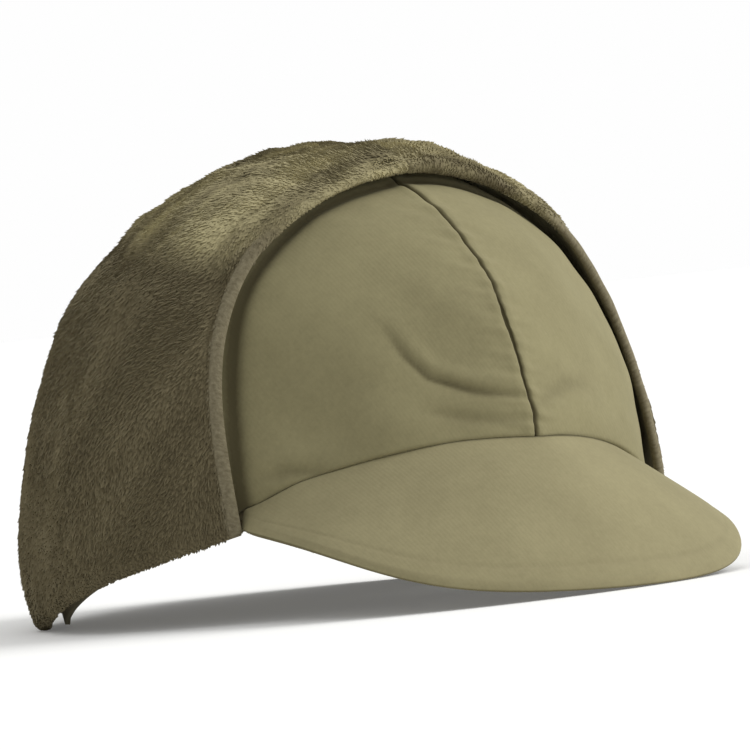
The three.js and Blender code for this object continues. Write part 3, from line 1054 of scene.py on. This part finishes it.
@dataclass
class FoldedFlap:
    """The padded neck and ear flap, folded up with its pile outward.

    Attributes:
        columns: mesh columns from the top middle down the front edge and round to the nape.
        rows: mesh rows from the pole to the outline.
        edge_share: share of the columns on the front edge.
        hem: radius of the rolled edge.
        edge_lift: how far the front edge stands off the crown.
        edge_thinning: how much thinner the front edge is on its outer side.
        edge_reach: how far back both fade.
        pole_behind: place of the mesh's pole behind the apex, on the map.
        pile_depth: how far the backing lies under the tips of the pile.
        hem_width: width of the bare rolled hem along the front edge.
        hem_fade: heights between which the bare hem gives way to pile.
        groove: depth of the groove behind the hem.
        shoulder_heights: heights of the shoulder, between which the pile stands fuller and is
            painted paler, as painted light from above.
        pleats: place behind the edge, height and half length of each pleat by the hem.
        row_power: how much closer the rows lie toward the outline.
        hem_tufts: length of the tufts at the outline, as a share of the others.
        tufts_per_mm2: tufts on each square millimetre.
        tuft_length: length of a tuft.
        tuft_width: width of a tuft.
        length_spread: shortest and longest tuft, as shares of the length.
        stray: how far tufts lean off the nap, in each direction.
        tint_seed: fixes the tufts' tints.
        pile_seed: fixes where the tufts of the first wing stand.
    """

    columns: int = 250
    rows: int = 84
    edge_share: float = 0.4
    hem: float = 2.6
    edge_lift: float = 1.9
    edge_thinning: float = 1.2
    edge_reach: float = 26.0
    pole_behind: float = 0.3
    row_power: float = 1.5
    hem_tufts: float = 0.45
    pile_depth: float = 1.2
    hem_width: float = 3.0
    hem_fade: tuple[float, float] = (46.0, 58.0)
    groove: float = 1.2
    shoulder_heights: tuple[float, float] = (41.0, 50.0)
    pleats: tuple[tuple[float, float, float], ...] = ((6.5, 56.0, 9.0), (11.0, 60.0, 7.0))
    tufts_per_mm2: float = 1.78
    tuft_length: float = 1.7
    tuft_width: float = 1.0
    length_spread: tuple[float, float] = (0.65, 1.25)
    stray: float = 0.26
    tint_seed: int = 5
    pile_seed: int = 31
    quilting: Ripple = field(default_factory=lambda: Ripple(26.0, 0.7, 21, stretch=(1, 1, 2.6)))
    lumps: Ripple = field(default_factory=lambda: Ripple(9.0, 0.2, 22, stretch=(1, 1, 1.8)))
    swirl: Ripple = field(default_factory=lambda: Ripple(30.0, 0.35, 23))

    def outline(self, share: np.ndarray) -> np.ndarray:
        """Outline of a wing on the map, by share of the way round it."""
        temple = float(FORM.edge_turn(FLAP_OUTER, np.array(-FORM.temple_drop)))
        top = FORM.edge_top(FLAP_OUTER)
        down = np.sin(np.clip(1 - share / self.edge_share, 0, 1) * math.pi / 2)
        edge_height = lerp(float(FORM.rim_height(np.array(temple))), top, down)
        edge_turn = FORM.edge_turn(FLAP_OUTER, edge_height)
        edge = FORM.chart(FLAP_OUTER, edge_turn, edge_height)
        behind = np.clip((share - self.edge_share) / (1 - self.edge_share), 0, 1)
        rim_turn = lerp(temple, math.pi, behind)
        rim = FORM.chart(FLAP_OUTER, rim_turn, FORM.rim_height(rim_turn))
        return np.where((share < self.edge_share)[:, None], edge, rim)

    def build(self, side: Side) -> bpy.types.Object:
        """Builds one wing.

        Args:
            side: which wing.

        Returns:
            The wing's padded body, with what the tufts need stored on it.
        """
        sign = side.value
        mirror = np.array([sign, 1.0, 1.0])
        laid_edge = FORM.bent(FLAP_OUTER, self.outline(np.linspace(0, 1, self.columns)), False)
        pole = np.array([0.0, self.pole_behind])
        out = 1 - (1 - np.linspace(0, 1, self.rows + 1)[1:]) ** self.row_power
        laid = pole + (laid_edge - pole)[:, None, :] * out[None, :, None]
        chart = FORM.bent(FLAP_OUTER, laid, True)
        outer = FORM.from_chart(FLAP_OUTER, chart)
        inner = FORM.from_chart(FLAP_INNER, chart)
        normal = FORM.outward(FLAP_OUTER, chart)
        roll = rounded(self.edge_distance(outer, out), self.hem)
        roll[:, -1] = 0
        behind = outer[..., 1] - FORM.edge_plane_y(outer[..., 2])
        near_edge = 1 - smoothstep(behind, 0, self.edge_reach)
        low = 1 - smoothstep(outer[..., 2], *self.hem_fade)
        bare = low * (1 - smoothstep(behind, self.hem_width - 0.4, self.hem_width + 0.4))
        strip = low * (1 - smoothstep(behind, self.hem_width, self.hem_width + 2.5))
        pressed = FORM.dent_depth(outer * mirror, PADDING)
        lift = np.maximum(self.edge_lift - np.maximum(pressed, 0), 0)
        relief = self.relief(outer * mirror, behind, side)
        rolled = self.lumps.at(outer * mirror) * 0.6
        rolled -= self.groove * np.exp(-(((behind - self.hem_width - 0.6) / 0.9) ** 2))
        grids = []
        for sign_up in (1, -1):
            depth = 0.5 - 0.5 * sign_up * roll
            worn = lerp(outer, inner, depth[..., None])
            stand = lerp(-self.edge_thinning, lift, depth) * near_edge
            stand = stand + (1 - depth) * (lerp(relief, rolled, strip) - pressed)
            worn = worn + normal * stand[..., None]
            worn = FORM.dented(worn, FLAP_DENTS)
            worn[..., 0] = sign * np.maximum(np.abs(worn[..., 0]), FORM.seam_gap / 2)
            worn[0, :, 0] = sign * FORM.seam_gap / 2
            worn[-1, :, 0] = sign * FORM.seam_gap / 2
            grids.append(worn)
        poles = np.stack([grid[:, 0].mean(axis=0) for grid in grids])
        poles[:, 0] = sign * FORM.seam_gap / 2
        upper, lower = (FORM.at_rest(grid) for grid in grids)
        nothing = np.zeros_like(roll)
        nap = FORM.turned(self.nap(outer * mirror, normal * mirror))
        # Above the shoulder the pile is painted paler, as painted light from above.
        top_light_share = smoothstep(outer[..., 2], *self.shoulder_heights)
        arc = np.arctan2(np.abs(outer[..., 0]), outer[..., 2] + FORM.widest_drop) * FORM.rise
        sheet = np.stack([arc, outer[..., 1], 300.0 * (sign + nothing)], axis=-1) * MM
        pile = 1 - np.maximum(bare, low * (1 - smoothstep(behind, 0.8, 2.4)))
        over = (1 - low) * (1 - smoothstep(behind, 2.0, 5.0))
        length = np.clip(upper[..., 2] / self.tuft_length / 1.3, 0.15, 1.0)
        by_hem = 1 - smoothstep(self.edge_distance(outer, out), 0.5, 6.0)
        length = length * (1 - (1 - self.hem_tufts) * by_hem)
        return sandwich(
            f"flap_body_{side.name.lower()}",
            upper,
            lower,
            FORM.at_rest(poles),
            {
                "nap": (nap, nap),
                "sheet": (sheet, sheet),
                "pile": (pile, over),
                "length": (length, length),
                "rub": (top_light_share, top_light_share),
                "hem": (bare, bare),
                # The backing is painted darker than the tufts' tips, and its inner face darker
                # still: painted shade under the pile and inside the flap.
                "tip": (nothing + 0.3, nothing),
                "tint": (nothing + 0.4, nothing + 0.4),
            },
        )

    def edge_distance(self, outer: np.ndarray, out: np.ndarray) -> np.ndarray:
        """Distance from the outline in millimetres, true near the outline.

        Args:
            outer: the outer grid, whose last row is the outline.
            out: share of the way from the pole to the outline of each row.

        Returns:
            The distance of each point.
        """
        ray = (outer[:, -1] - outer[:, -2]) / (out[-1] - out[-2])
        tangent = np.gradient(outer[:, -1], axis=0)
        tangent /= np.maximum(np.linalg.norm(tangent, axis=1, keepdims=True), 1e-9)
        across = ray - np.sum(ray * tangent, axis=1, keepdims=True) * tangent
        return (1 - out)[None, :] * np.linalg.norm(across, axis=1)[:, None]

    def relief(self, worn: np.ndarray, behind: np.ndarray, side: Side) -> np.ndarray:
        """Relief of the backing under the pile.

        Args:
            worn: points on the wing.
            behind: how far each lies behind the front edge.
            side: which wing.

        Returns:
            Millimetres outward.
        """
        height = worn[..., 2]
        top = smoothstep(height, *self.shoulder_heights)
        relief = self.quilting.at(worn) + self.lumps.at(worn) * (1 + top) - self.pile_depth
        relief += 0.7 * top - 0.7 * np.exp(-(((height - self.shoulder_heights[0]) / 4.0) ** 2))
        if side is Side.RIGHT:
            for at, height_at, span in self.pleats:
                along = np.exp(-(((height - height_at) / span) ** 2))
                relief -= 1.3 * along * np.exp(-(((behind - at) / 1.1) ** 2))
        return relief

    def nap(self, worn: np.ndarray, normal: np.ndarray) -> np.ndarray:
        """Direction in which the tufts lean.

        Args:
            worn: points on the wing.
            normal: outward directions there.

        Returns:
            Downward along the cloth, more so where the swirl of the pile has it.
        """
        swirl = self.swirl.at(worn)
        down = np.stack([0 * swirl, 0.3 + swirl, -1 + 0 * swirl], axis=-1)
        lay = down - np.sum(normal * down, axis=-1, keepdims=True) * normal
        lay = lay / np.maximum(np.linalg.norm(lay, axis=-1, keepdims=True), 1e-6)
        return lay + 0.28 * normal

    def tuft_tree(self, material: bpy.types.Material) -> bpy.types.NodeTree:
        """Builds the node tree that covers a wing with tufts.

        Args:
            material: the pile.

        Returns:
            The tree. Its inputs are the wing, tufts per square metre, length, width and seed.
        """
        tree = bpy.data.node_groups.new("pile_tufts", "GeometryNodeTree")
        face = tree.interface
        kinds = {"Wing": "Geometry", "Density": "Float", "Tuft Length": "Float",
                 "Tuft Width": "Float", "Seed": "Int"}
        for name, kind in kinds.items():
            face.new_socket(name, in_out="INPUT", socket_type=f"NodeSocket{kind}")
        face.new_socket("Pile", in_out="OUTPUT", socket_type="NodeSocketGeometry")
        given = add_node(tree, "NodeGroupInput").outputs
        dense = calculate(tree, "MULTIPLY", given["Density"], stored(tree, "pile"))
        spots = add_node(
            tree,
            "GeometryNodeDistributePointsOnFaces",
            {"distribute_method": "RANDOM"},
            {"Mesh": given["Wing"], "Density": dense, "Seed": given["Seed"]},
        )
        cone = add_node(
            tree,
            "GeometryNodeMeshCone",
            {"fill_type": "NGON", "Vertices": 3, "Radius Top": 0.0, "Radius Bottom": 0.5,
             "Depth": 1.0},
        )
        place = add_node(tree, "GeometryNodeInputPosition")
        # Each tuft's height is stored for the painted shade toward its root.
        split = add_node(tree, "ShaderNodeSeparateXYZ", links={0: place.outputs[0]})
        tipped = add_node(
            tree,
            "GeometryNodeStoreNamedAttribute",
            {"data_type": "FLOAT", "domain": "POINT", "Name": "tip"},
            {"Geometry": cone.outputs["Mesh"], "Value": split.outputs["Z"]},
        )
        away = (self.stray,) * 3
        stray = add_node(
            tree,
            "FunctionNodeRandomValue",
            {"data_type": "FLOAT_VECTOR", 0: tuple(-part for part in away), 1: away},
            {"Seed": given["Seed"]},
        )
        lean = add_node(
            tree,
            "ShaderNodeVectorMath",
            {"operation": "ADD"},
            {0: stored(tree, "nap", "FLOAT_VECTOR"), 1: stray.outputs["Value"]},
        )
        aim = add_node(
            tree, "FunctionNodeAlignRotationToVector", {"axis": "Z"}, {"Vector": lean.outputs[0]}
        )
        shortest, longest = self.length_spread
        spread = add_node(
            tree,
            "FunctionNodeRandomValue",
            {"data_type": "FLOAT", 2: shortest, 3: longest},
            {"Seed": given["Seed"]},
        )
        uneven = calculate(tree, "MULTIPLY", given["Tuft Length"], spread.outputs[1])
        long = calculate(tree, "MULTIPLY", uneven, stored(tree, "length"))
        width = given["Tuft Width"]
        size = add_node(tree, "ShaderNodeCombineXYZ", links={0: width, 1: width, 2: long})
        planted = add_node(
            tree,
            "GeometryNodeInstanceOnPoints",
            links={
                "Points": spots.outputs["Points"],
                "Instance": tipped.outputs["Geometry"],
                "Rotation": aim.outputs["Rotation"],
                "Scale": size.outputs[0],
            },
        )
        draw = add_node(
            tree, "FunctionNodeRandomValue", {"data_type": "FLOAT", "Seed": self.tint_seed}
        )
        tinted = add_node(
            tree,
            "GeometryNodeStoreNamedAttribute",
            {"data_type": "FLOAT", "domain": "INSTANCE", "Name": "tint"},
            {"Geometry": planted.outputs[0], "Value": draw.outputs[1]},
        )
        real = add_node(tree, "GeometryNodeRealizeInstances", links={0: tinted.outputs[0]})
        painted = add_node(
            tree,
            "GeometryNodeSetMaterial",
            {"Material": material},
            {"Geometry": real.outputs[0]},
        )
        add_node(tree, "NodeGroupOutput", links={0: painted.outputs[0]})
        return tree

    def grow_pile(
        self, wing: bpy.types.Object, tree: bpy.types.NodeTree, seed: int
    ) -> bpy.types.Object:
        """Covers a wing with tufts.

        Args:
            wing: the wing's body.
            tree: the node tree of the tufts.
            seed: fixes where the tufts stand.

        Returns:
            The tufts as one plain mesh.
        """
        modifier = wing.modifiers.new("pile", "NODES")
        modifier.node_group = tree
        given = {
            "Density": self.tufts_per_mm2 / MM**2,
            "Tuft Length": self.tuft_length * MM,
            "Tuft Width": self.tuft_width * MM,
            "Seed": seed,
        }
        for item in tree.interface.items_tree:
            if item.item_type == "SOCKET" and item.name in given:
                modifier[item.identifier] = given[item.name]
        graph = bpy.context.evaluated_depsgraph_get()
        mesh = bpy.data.meshes.new_from_object(
            wing.evaluated_get(graph), preserve_all_data_layers=True, depsgraph=graph
        )
        wing.modifiers.remove(modifier)
        pile = bpy.data.objects.new(wing.name.replace("body", "pile"), mesh)
        bpy.context.scene.collection.objects.link(pile)
        return pile

    def dress(self, finish: WoolPile) -> list[bpy.types.Object]:
        """Builds both wings with their pile.

        Args:
            finish: the pile.

        Returns:
            The pieces.
        """
        material = finish.material()
        tree = self.tuft_tree(material)
        pieces = []
        for seed, side in enumerate(Side):
            wing = self.build(side)
            wing.data.materials.append(material)
            pile = self.grow_pile(wing, tree, self.pile_seed + seed)
            for piece in (wing, pile):
                declare(piece, [f"flap_{side.name.lower()}"])
                pieces.append(piece)
        return pieces


# Peak


@dataclass
class Peak:
    """The short curved peak, two layers of cloth over a soft stiffener.

    Attributes:
        half_width: half the distance between its ends.
        end_y: how far forward its ends are.
        forward: how far the edge stands before its ends.
        front_drop: drop from the seam to the front edge.
        end_lift: how much higher the edge is at its ends.
        thickness: thickness of the layers.
        crowning: height of the bulge between seam and edge.
        skew: slope of the edge from side to side.
        root_gap: clearance at the seam, below zero where the cloth is sewn in.
        end_share: how far round toward the temple the seam runs.
        hem: radius of the rolled edge.
        stitch_inset: how far inside the edge its stitched line runs.
        stitch_width: half width of that line.
        edge_powers: how square the edge is across and forward, and how late its ends rise.
        columns: mesh columns from end to end.
        rows: mesh rows from seam to edge.
        drape: unevenness of the cloth.
    """

    half_width: float = 72.3
    end_y: float = -50.0
    forward: float = 77.0
    front_drop: float = 34.0
    end_lift: float = 8.5
    thickness: float = 2.8
    crowning: float = 2.5
    skew: float = 0.04
    root_gap: float = -0.3
    end_share: float = 1.02
    hem: float = 1.4
    stitch_inset: float = 6.0
    stitch_width: float = 0.9
    edge_powers: tuple[float, float, float] = (1.95, 3.3, 5.0)
    columns: int = 220
    rows: int = 90
    drape: Ripple = field(default_factory=lambda: Ripple(38.0, 0.3, 41))

    def place(self, share: np.ndarray, out: np.ndarray) -> np.ndarray:
        """Point on the upper face.

        Args:
            share: from minus one at the right end to plus one at the left end.
            out: from zero at the seam to one at the edge.

        Returns:
            Points of the worn peak.
        """
        temple = float(FORM.edge_turn(FLAP_OUTER, np.array(-FORM.temple_drop)))
        turn = share * temple * self.end_share
        root = FORM.point(CROWN_OUTER, turn, FORM.crown_rim(FLAP_OUTER, turn))
        root = FORM.dented(root, CROWN_DENTS)
        outward = root * np.array([1.0, 1.0, 0.0])
        root = root + self.root_gap * outward / np.linalg.norm(outward, axis=-1, keepdims=True)
        across = np.sin(share * math.pi / 2)
        across_power, forward_power, lift_power = self.edge_powers
        narrowing = np.clip(1 - np.abs(across) ** across_power, 0, None)
        edge = np.stack(
            [
                self.half_width * across,
                self.end_y - self.forward * narrowing ** (1 / forward_power),
                -self.front_drop
                + self.end_lift * np.abs(across) ** lift_power
                - self.skew * self.half_width * across,
            ],
            axis=-1,
        )
        point = lerp(root, edge, out[..., None])
        bulge = self.crowning * 4 * out * (1 - out) * np.cos(share * math.pi / 2)
        point[..., 2] += bulge
        return point

    def build(self) -> bpy.types.Object:
        """Builds the peak.

        Returns:
            The piece.
        """
        share = np.linspace(-1, 1, self.columns)
        share = np.sign(share) * (1 - (1 - np.abs(share)) ** 1.2)
        out = 1 - (1 - np.linspace(0, 1, self.rows)) ** 1.4
        shares = np.broadcast_to(share[:, None], (self.columns, self.rows))
        outs = np.broadcast_to(out[None, :], shares.shape)
        upper = self.place(shares, outs)
        steps = np.linalg.norm(np.diff(upper, axis=1), axis=-1)
        from_edge = np.concatenate(
            [np.cumsum(steps[:, ::-1], axis=1)[:, ::-1], np.zeros((self.columns, 1))], axis=1
        )
        from_end = (1 - np.abs(shares)) * self.half_width * 1.5
        roll = rounded(from_edge, self.hem)
        side_roll = 0.25 + 0.75 * rounded(from_end, self.hem)
        middle = upper - np.array([0, 0, self.thickness / 2])
        reliefs = self.drape.at(upper) * smoothstep(from_edge, 0, 12) * smoothstep(outs, 0, 0.2)
        stitch = np.exp(-(((from_edge - self.stitch_inset) / self.stitch_width) ** 2))
        middle[..., 2] += reliefs
        half = (self.thickness / 2) * roll * side_roll
        half[:, -1] = 0
        top = middle + np.stack([0 * half, 0 * half, half - 0.12 * stitch * roll], axis=-1)
        low = middle - np.stack([0 * half, 0 * half, half], axis=-1)
        # Painted shade darkens the stitched line a little and the seam at the root; the last few
        # millimetres before the edge are painted lighter.
        painted_shade = 0.06 * stitch + 0.35 * (1 - smoothstep(outs, 0, 0.02))
        painted_shade = np.clip(painted_shade - 0.1 * (1 - smoothstep(from_edge, 0, 2.5)), 0, 1)
        return sandwich(
            "peak_cloth",
            FORM.at_rest(top),
            FORM.at_rest(low),
            None,
            # The underside gets more painted shade.
            {"painted_shade": (painted_shade, np.clip(painted_shade + 0.6, 0, 1))},
        )

    def dress(self, finish: CottonDrill) -> list[bpy.types.Object]:
        """Builds the peak and gives it its cloth.

        Args:
            finish: the cloth.

        Returns:
            The pieces.
        """
        piece = self.build()
        piece.data.materials.append(finish.material())
        declare(piece, ["peak"])
        return [piece]


# Sweatband


@dataclass
class Sweatband:
    """The band inside the rim.

    Attributes:
        wall_gap: clearance inside the crown's wall.
        thickness: thickness of the band.
        height: height above the crown's lower edge.
        show: how far it reaches below the crown's lower edge.
        columns: mesh columns round the band.
        rows: mesh rows up each face.
    """

    wall_gap: float = 1.0
    thickness: float = 1.6
    height: float = 28.0
    show: float = 2.4
    columns: int = 300
    rows: int = 14
    crumple: Ripple = field(default_factory=lambda: Ripple(16.0, 0.12, 51))

    def build(self) -> bpy.types.Object:
        """Builds the band as a closed ring.

        Returns:
            The piece.
        """
        turn = np.linspace(-math.pi, math.pi, self.columns, endpoint=False)
        rim = FORM.crown_rim(FLAP_OUTER, turn)
        outside = -CROWN_WALL - self.wall_gap
        levels = np.linspace(-self.show, self.height, self.rows)
        ring = [(outside, level) for level in levels]
        ring += [(outside - self.thickness, level) for level in levels[::-1]]
        loops = []
        for grow, level in ring:
            worn = FORM.point((grow, grow), turn, rim + level)
            loops.append(FORM.dented(worn, CROWN_DENTS))
        worn = np.stack(loops, axis=1)
        worn = worn + worn * (self.crumple.at(worn) / FORM.half_width)[..., None]
        count = len(ring)
        faces = [
            (
                c * count + i,
                ((c + 1) % self.columns) * count + i,
                ((c + 1) % self.columns) * count + (i + 1) % count,
                c * count + (i + 1) % count,
            )
            for c in range(self.columns)
            for i in range(count)
        ]
        points = FORM.at_rest(worn).reshape(-1, 3)
        return mesh_piece("sweatband_cloth", points, faces, {"painted_shade": np.zeros(len(points))})

    def dress(self, finish: CottonDrill) -> list[bpy.types.Object]:
        """Builds the band and gives it its cloth.

        Args:
            finish: the cloth.

        Returns:
            The pieces.
        """
        piece = self.build()
        piece.data.materials.append(finish.material())
        declare(piece, ["sweatband"])
        return [piece]


# Studio


@dataclass(frozen=True)
class Lamp:
    """A large soft light far away.

    Attributes:
        name: the light's name.
        place: where it shines from, as seen from the cap.
        power: watts on a square metre.
        spread: apparent size in degrees.
    """

    name: str
    place: tuple[float, float, float]
    power: float
    spread: float


@dataclass
class Studio:
    """Floor, lights and camera.

    Attributes:
        azimuth: camera azimuth in degrees.
        elevation: camera elevation in degrees.
        roll: camera roll in degrees.
        distance_mm: from the camera to the plane through the origin.
        scale: pixels to a millimetre in that plane.
        origin_px: where the cap's origin falls in the 750 pixel frame.
    """

    azimuth: float = -35.5
    elevation: float = 0.8
    roll: float = -5.8
    distance_mm: float = 1772.0
    scale: float = 3.5
    origin_px: tuple[float, float] = (371.6, 597.6)
    image_px: float = 750.0
    sensor_mm: float = 36.0
    sky: float = 0.42
    lamps: tuple[Lamp, ...] = (
        Lamp("key", (1.65, -1.05, 1.25), 2.2, 46.0),
        Lamp("top", (0.0, 0.4, 1.9), 0.85, 70.0),
    )

    def camera(self) -> None:
        """Places the camera at the photograph's angle."""
        a, e, r = (math.radians(v) for v in (self.azimuth, self.elevation, self.roll))
        back = Vector((math.sin(a) * math.cos(e), -math.cos(a) * math.cos(e), math.sin(e)))
        level = Vector((math.cos(a), math.sin(a), 0.0))
        upright = back.cross(level)
        right = math.cos(r) * level + math.sin(r) * upright
        up = -math.sin(r) * level + math.cos(r) * upright
        middle = self.image_px / 2
        across = (self.origin_px[0] - middle) / self.scale
        above = (middle - self.origin_px[1]) / self.scale
        place = (self.distance_mm * back - across * right - above * up) * MM
        data = bpy.data.cameras.new("camera")
        data.sensor_width = self.sensor_mm
        data.lens = self.scale * self.distance_mm / self.image_px * self.sensor_mm
        data.clip_end = 50.0
        camera = bpy.data.objects.new("camera", data)
        matrix = Matrix.Identity(4)
        for row in range(3):
            matrix[row][0], matrix[row][1] = right[row], up[row]
            matrix[row][2], matrix[row][3] = back[row], place[row]
        camera.matrix_world = matrix
        bpy.context.scene.collection.objects.link(camera)
        bpy.context.scene.camera = camera

    def lights(self) -> None:
        """Adds the soft lights and the pale surround."""
        for lamp in self.lamps:
            data = bpy.data.lights.new(lamp.name, "SUN")
            data.energy = lamp.power
            data.angle = math.radians(lamp.spread)
            light = bpy.data.objects.new(lamp.name, data)
            light.location = lamp.place
            aim = -Vector(lamp.place)
            light.rotation_euler = aim.to_track_quat("-Z", "Y").to_euler()
            bpy.context.scene.collection.objects.link(light)
        world = bpy.data.worlds.new("surround")
        world.use_nodes = True
        tree = world.node_tree
        tree.nodes.clear()
        rays = add_node(tree, "ShaderNodeLightPath")
        glow = add_node(
            tree,
            "ShaderNodeMix",
            {"data_type": "FLOAT", 2: self.sky, 3: 1.0},
            {0: rays.outputs["Is Camera Ray"]},
        )
        shine = add_node(
            tree,
            "ShaderNodeBackground",
            {"Color": hex_to_linear("#FEFEFE")},
            {"Strength": glow.outputs[0]},
        )
        add_node(tree, "ShaderNodeOutputWorld", links={"Surface": shine.outputs[0]})
        bpy.context.scene.world = world
        bpy.context.scene.view_settings.view_transform = "Standard"

    def floor(self) -> bpy.types.Object:
        """Lays the pale floor.

        Returns:
            The floor.
        """
        radius = 30.0
        turns = np.linspace(0, 2 * math.pi, 64, endpoint=False)
        ring = np.stack([np.cos(turns), np.sin(turns), 0 * turns], axis=1) * radius / MM
        floor = mesh_piece("floor", ring, [tuple(range(64))])
        material = bpy.data.materials.new("matt white paper")
        material.use_nodes = True
        shader = material.node_tree.nodes["Principled BSDF"]
        shader.inputs["Base Color"].default_value = hex_to_linear("#F4F4F2")
        shader.inputs["Roughness"].default_value = 0.9
        shader.inputs["Emission Color"].default_value = hex_to_linear("#FFFFFF")
        shader.inputs["Emission Strength"].default_value = 0.12
        floor.data.materials.append(material)
        return floor

    def build(self) -> None:
        """Sets up floor, lights and camera."""
        self.floor()
        self.lights()
        self.camera()


def main() -> None:
    """Builds and dresses the cap in order and reports each piece."""
    logging.basicConfig(level=logging.INFO, format="%(name)s: %(message)s")
    crown_cloth = CottonDrill("washed cotton drill", "#9B946F", "#5F583E")
    peak_cloth = CottonDrill("pressed cotton drill", "#A29A76", "#665F43")
    band_cloth = CottonDrill("cotton band twill", "#6A6248", "#3C3626")
    pile = WoolPile("clipped wool pile", "#857B5F", "#4E4633", "#ADA47E", "#877F67")
    builders: list[tuple[str, Callable[[], list[bpy.types.Object]]]] = [
        ("crown", lambda: Crown().dress(crown_cloth)),
        ("peak", lambda: Peak().dress(peak_cloth)),
        ("sweatband", lambda: Sweatband().dress(band_cloth)),
        ("folded flap", lambda: FoldedFlap().dress(pile)),
    ]
    for title, build in builders:
        for piece in build():
            log.info("%s: %s, %d faces", title, piece.name, len(piece.data.polygons))
    Studio().build()


if __name__ == "__main__":
    main()
